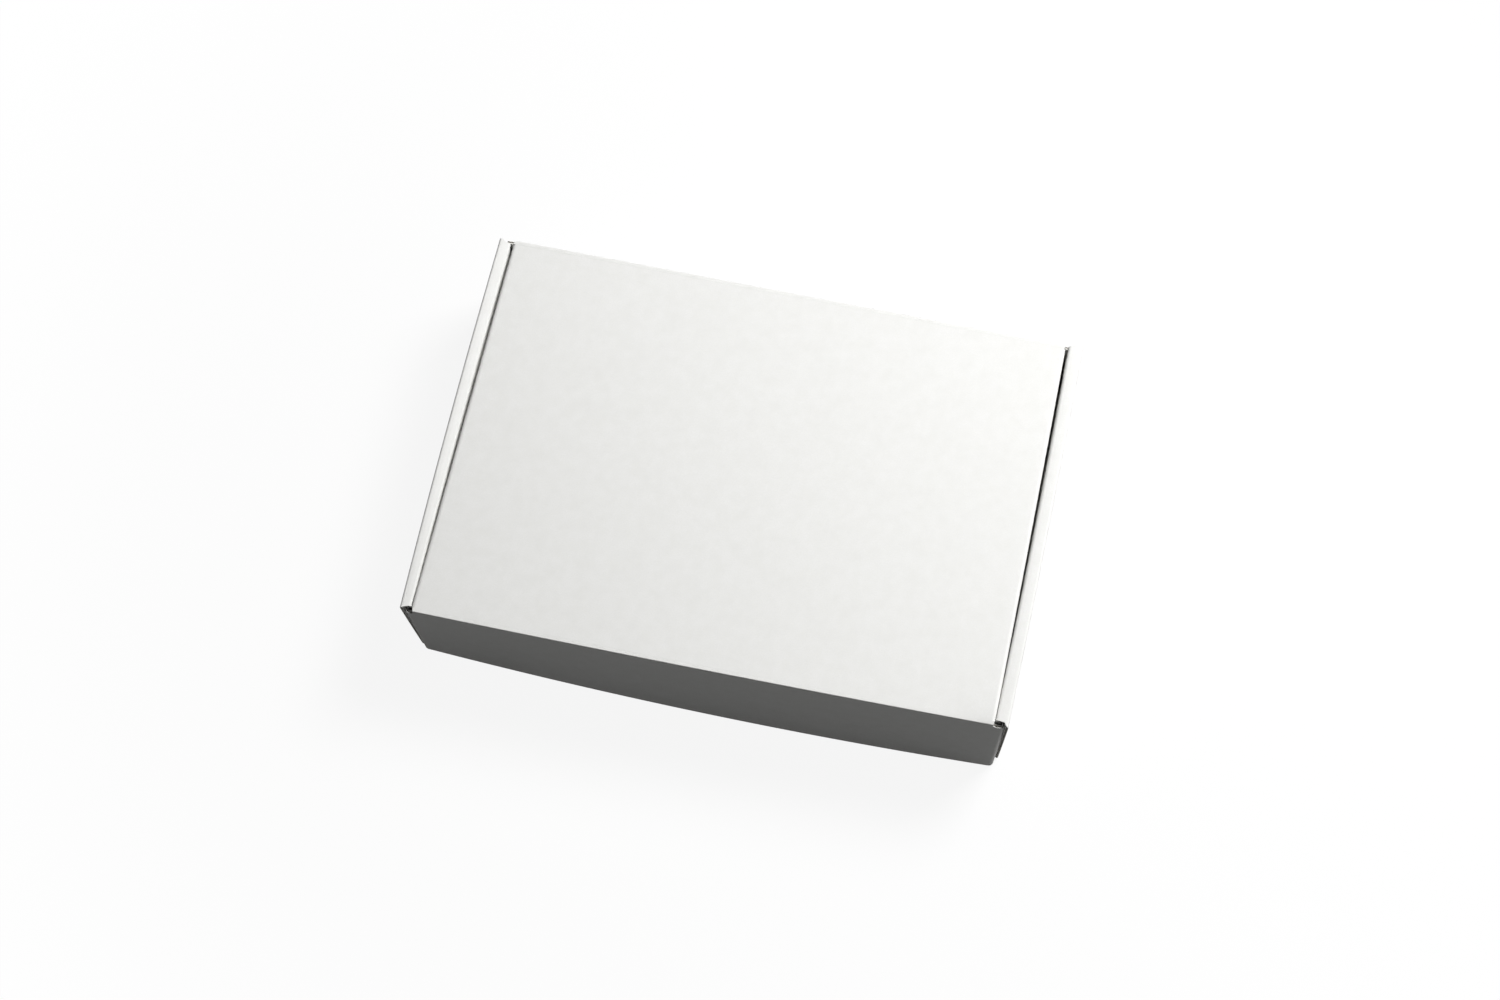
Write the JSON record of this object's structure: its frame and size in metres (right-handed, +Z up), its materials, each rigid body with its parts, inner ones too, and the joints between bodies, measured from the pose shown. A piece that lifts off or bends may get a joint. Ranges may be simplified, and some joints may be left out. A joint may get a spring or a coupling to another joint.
{
  "type": "corrugated mailer box",
  "caption": "Closed white corrugated mailer box: folded tray with roll-over side walls, a lid hinged along the rear fold and a front flap that tucks down over the front wall.",
  "frame": {"origin": "middle of the underside of the floor panel, between the outer faces of the front flap's crease and the rear wall", "axes": "+X along the long side, -Y towards the front flap, +Z up through the lid"},
  "size_m": [0.2398, 0.1619, 0.0534],
  "materials": {
    "white_board": "matte white paper liner on thin fluted board"
  },
  "bodies": {
    "tray": {"tray": "white_board"},
    "lid": {"lid": "white_board"},
    "front_flap": {"front_flap": "white_board"}
  },
  "joints": [
    {"name": "lid_hinge", "type": "hinge", "parent": "tray", "child": "lid", "pos_m": [0, 0.07805, 0.0529], "axis": [-1, 0, 0], "range_deg": [0, 180]},
    {"name": "flap_fold", "type": "hinge", "parent": "lid", "child": "front_flap", "pos_m": [0, -0.07805, 0.0529], "axis": [-1, 0, 0], "range_deg": [0, 120]}
  ]
}
